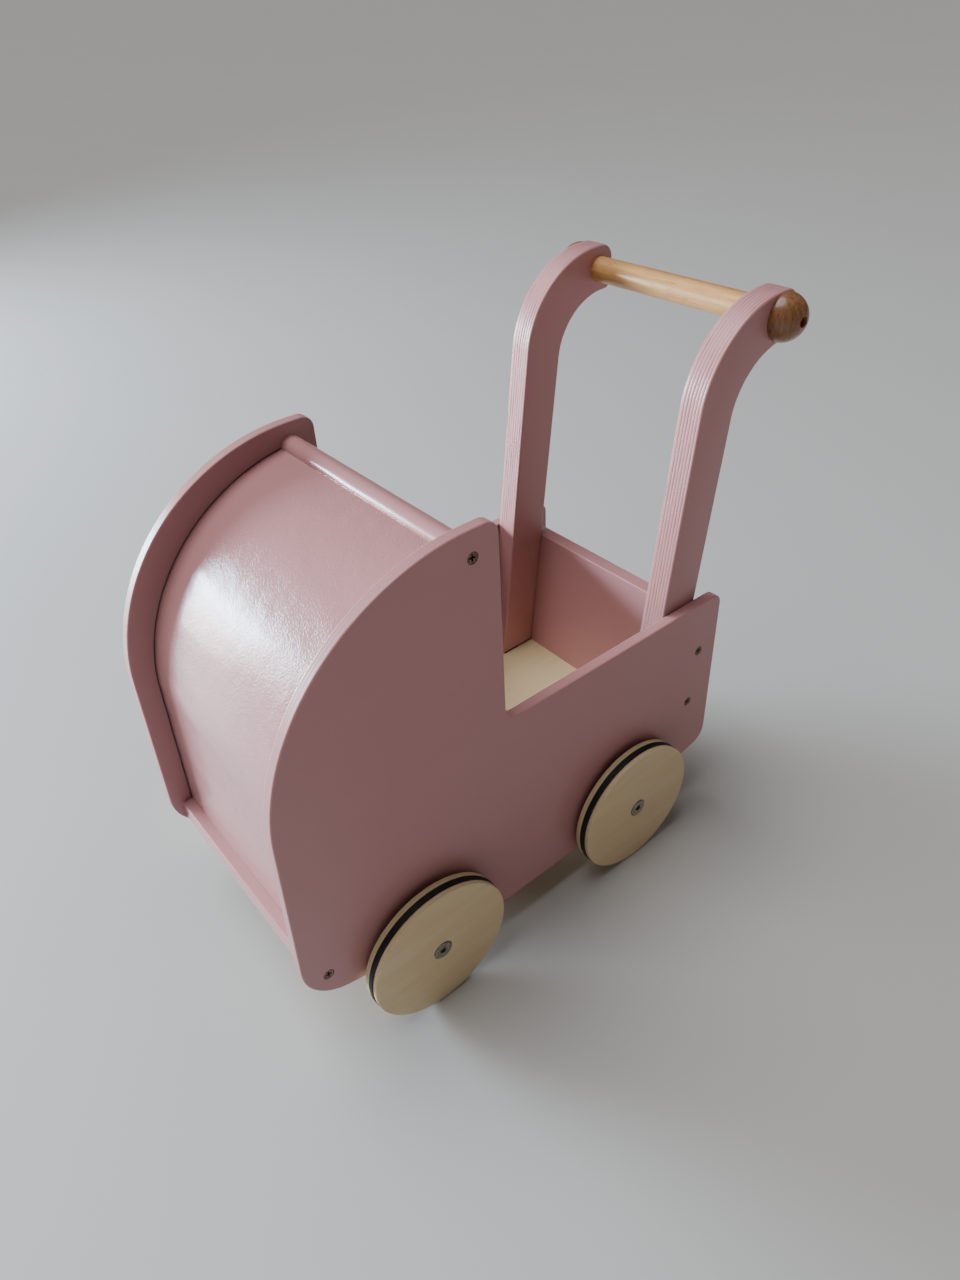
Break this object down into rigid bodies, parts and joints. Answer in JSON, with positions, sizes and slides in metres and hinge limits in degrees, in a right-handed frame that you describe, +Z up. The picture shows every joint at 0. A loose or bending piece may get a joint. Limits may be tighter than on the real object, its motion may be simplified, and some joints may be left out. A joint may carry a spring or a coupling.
{
  "type": "doll stroller",
  "caption": "Wooden doll pram with curved side panels, a bent-sheet hood, a cross rod push handle and free-turning wheels with rubber bands.",
  "frame": {"origin": "middle of the base: on the floor under the middle of the overall width and length", "axes": "+Z up, -Y to the front (the hood end), +Y to the rear (the handle end), +X to the pram's left"},
  "size_m": [0.255, 0.4723, 0.451],
  "materials": {
    "pink_paint": "semi-gloss pink paint on plywood",
    "birch_ply": "satin varnish on birch plywood, layers showing at the edges",
    "beech": "satin varnish on solid beech",
    "dark_beech": "satin varnish on a turned half ball",
    "hidden_wood": "plain hardwood",
    "tyre_rubber": "matt black rubber",
    "zinc_steel": "dull zinc plating, worn",
    "dark_screw": "dark bronze plating, worn in the recess",
    "nylon": "natural nylon"
  },
  "bodies": {
    "pram_body": {"side_panel_left": "pink_paint", "side_panel_right": "pink_paint", "hood_sheet": "pink_paint", "hood_rod": "pink_paint", "front_bar": "pink_paint", "floor_panel": "birch_ply", "rear_panel": "pink_paint", "handle_upright_left": "pink_paint", "handle_upright_right": "pink_paint", "handle_rod": "beech", "handle_cap_left": "dark_beech", "handle_cap_right": "dark_beech", "handle_cap_screws": "dark_screw", "panel_screws": "dark_screw", "upright_screws": "dark_screw", "wheel_bolts": "zinc_steel", "wheel_spacers": "nylon", "threaded_inserts": "zinc_steel", "axle_beam_front": "hidden_wood", "axle_beam_rear": "hidden_wood"},
    "wheel_front_left": {"wheel_disc_front_left": "birch_ply", "tyre_front_left": "tyre_rubber", "wheel_bush_front_left": "nylon"},
    "wheel_front_right": {"wheel_disc_front_right": "birch_ply", "tyre_front_right": "tyre_rubber", "wheel_bush_front_right": "nylon"},
    "wheel_rear_left": {"wheel_disc_rear_left": "birch_ply", "tyre_rear_left": "tyre_rubber", "wheel_bush_rear_left": "nylon"},
    "wheel_rear_right": {"wheel_disc_rear_right": "birch_ply", "tyre_rear_right": "tyre_rubber", "wheel_bush_rear_right": "nylon"}
  },
  "joints": [
    {"name": "wheel_front_left_spin", "type": "hinge", "parent": "pram_body", "child": "wheel_front_left", "pos_m": [0.12, -0.13528, 0.06], "axis": [1, 0, 0], "continuous": true},
    {"name": "wheel_front_right_spin", "type": "hinge", "parent": "pram_body", "child": "wheel_front_right", "pos_m": [-0.12, -0.13528, 0.06], "axis": [1, 0, 0], "continuous": true},
    {"name": "wheel_rear_left_spin", "type": "hinge", "parent": "pram_body", "child": "wheel_rear_left", "pos_m": [0.12, 0.07372, 0.06], "axis": [1, 0, 0], "continuous": true},
    {"name": "wheel_rear_right_spin", "type": "hinge", "parent": "pram_body", "child": "wheel_rear_right", "pos_m": [-0.12, 0.07372, 0.06], "axis": [1, 0, 0], "continuous": true}
  ]
}
